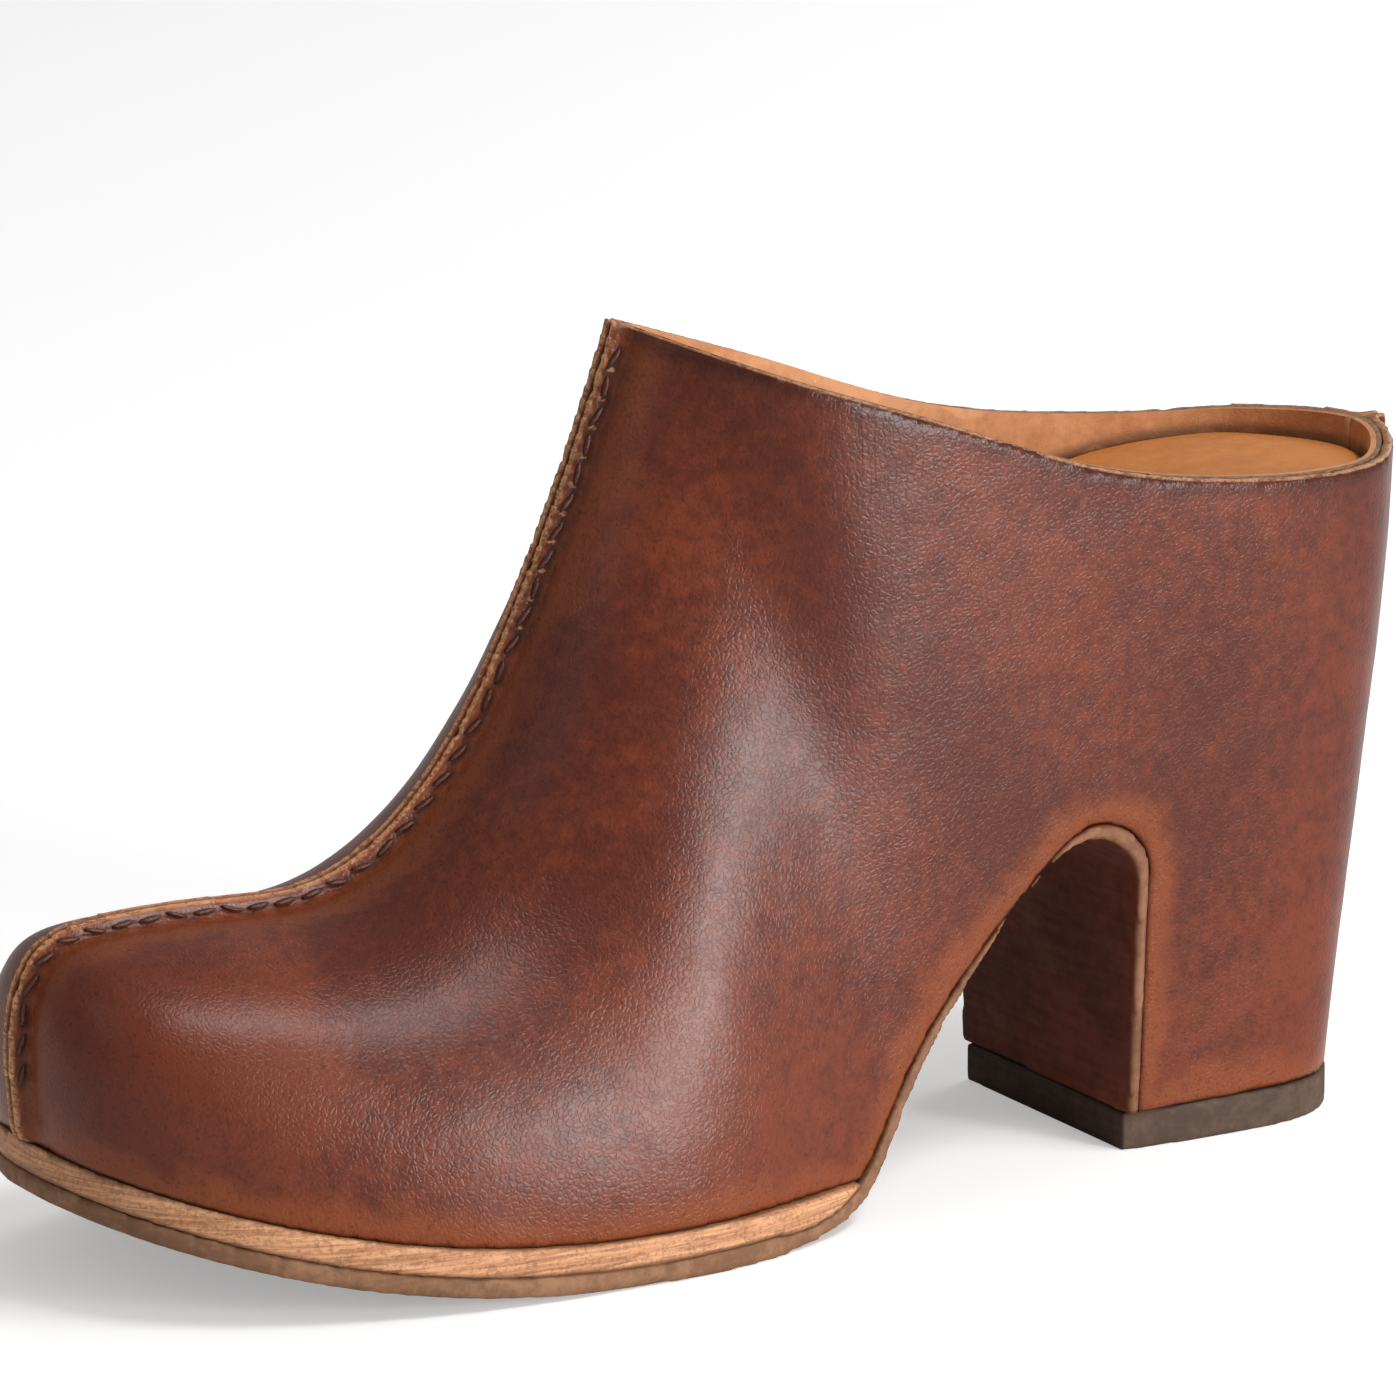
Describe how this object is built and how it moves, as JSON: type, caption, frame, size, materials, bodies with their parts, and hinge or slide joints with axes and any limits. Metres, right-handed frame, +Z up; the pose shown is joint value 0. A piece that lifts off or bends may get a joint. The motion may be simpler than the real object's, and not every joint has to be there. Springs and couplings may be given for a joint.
{
  "type": "heeled clog mule",
  "caption": "Left heeled clog mule with two leather quarters joined by raised front and back seams, a covered block heel and a layered forefoot sole.",
  "frame": {"origin": "centre of the footprint of the whole shoe's box, on the ground", "axes": "+X from heel to toe, +Y to the outer side of the left foot, +Z up"},
  "size_m": [0.2416, 0.0846, 0.1355],
  "materials": {
    "upper_leather": "burnished pebbled leather, semi-gloss",
    "lining_leather": "matte tan lining leather",
    "footbed_leather": "smooth tan leather",
    "backing_cloth": "woven cotton backing",
    "stiffener": "formed stiffener sheet",
    "thread": "waxed dark reddish thread",
    "foam": "soft latex foam",
    "board": "cellulose insole board",
    "steel": "plain steel",
    "heel_wood": "sanded alder",
    "welt_leather": "fibrous cut edge of tan sole leather",
    "sole_rubber": "matte grey-brown rubber",
    "lift_rubber": "matte dark brown rubber"
  },
  "bodies": {
    "root": {"outer_quarter": "upper_leather", "inner_quarter": "upper_leather", "outer_lining": "lining_leather", "inner_lining": "lining_leather", "outer_backing": "backing_cloth", "inner_backing": "backing_cloth", "toe_puff": "stiffener", "heel_counter": "stiffener", "front_seam_thread": "thread", "back_seam_thread": "thread", "sock_liner": "footbed_leather", "footbed_foam": "foam", "insole_board": "board", "shank": "steel", "shank_rivets": "steel", "heel_screw": "steel", "heel_nails": "steel", "top_lift_nails": "steel", "heel_unit": "heel_wood", "welt": "welt_leather", "outsole": "sole_rubber", "top_lift": "lift_rubber"}
  },
  "joints": []
}
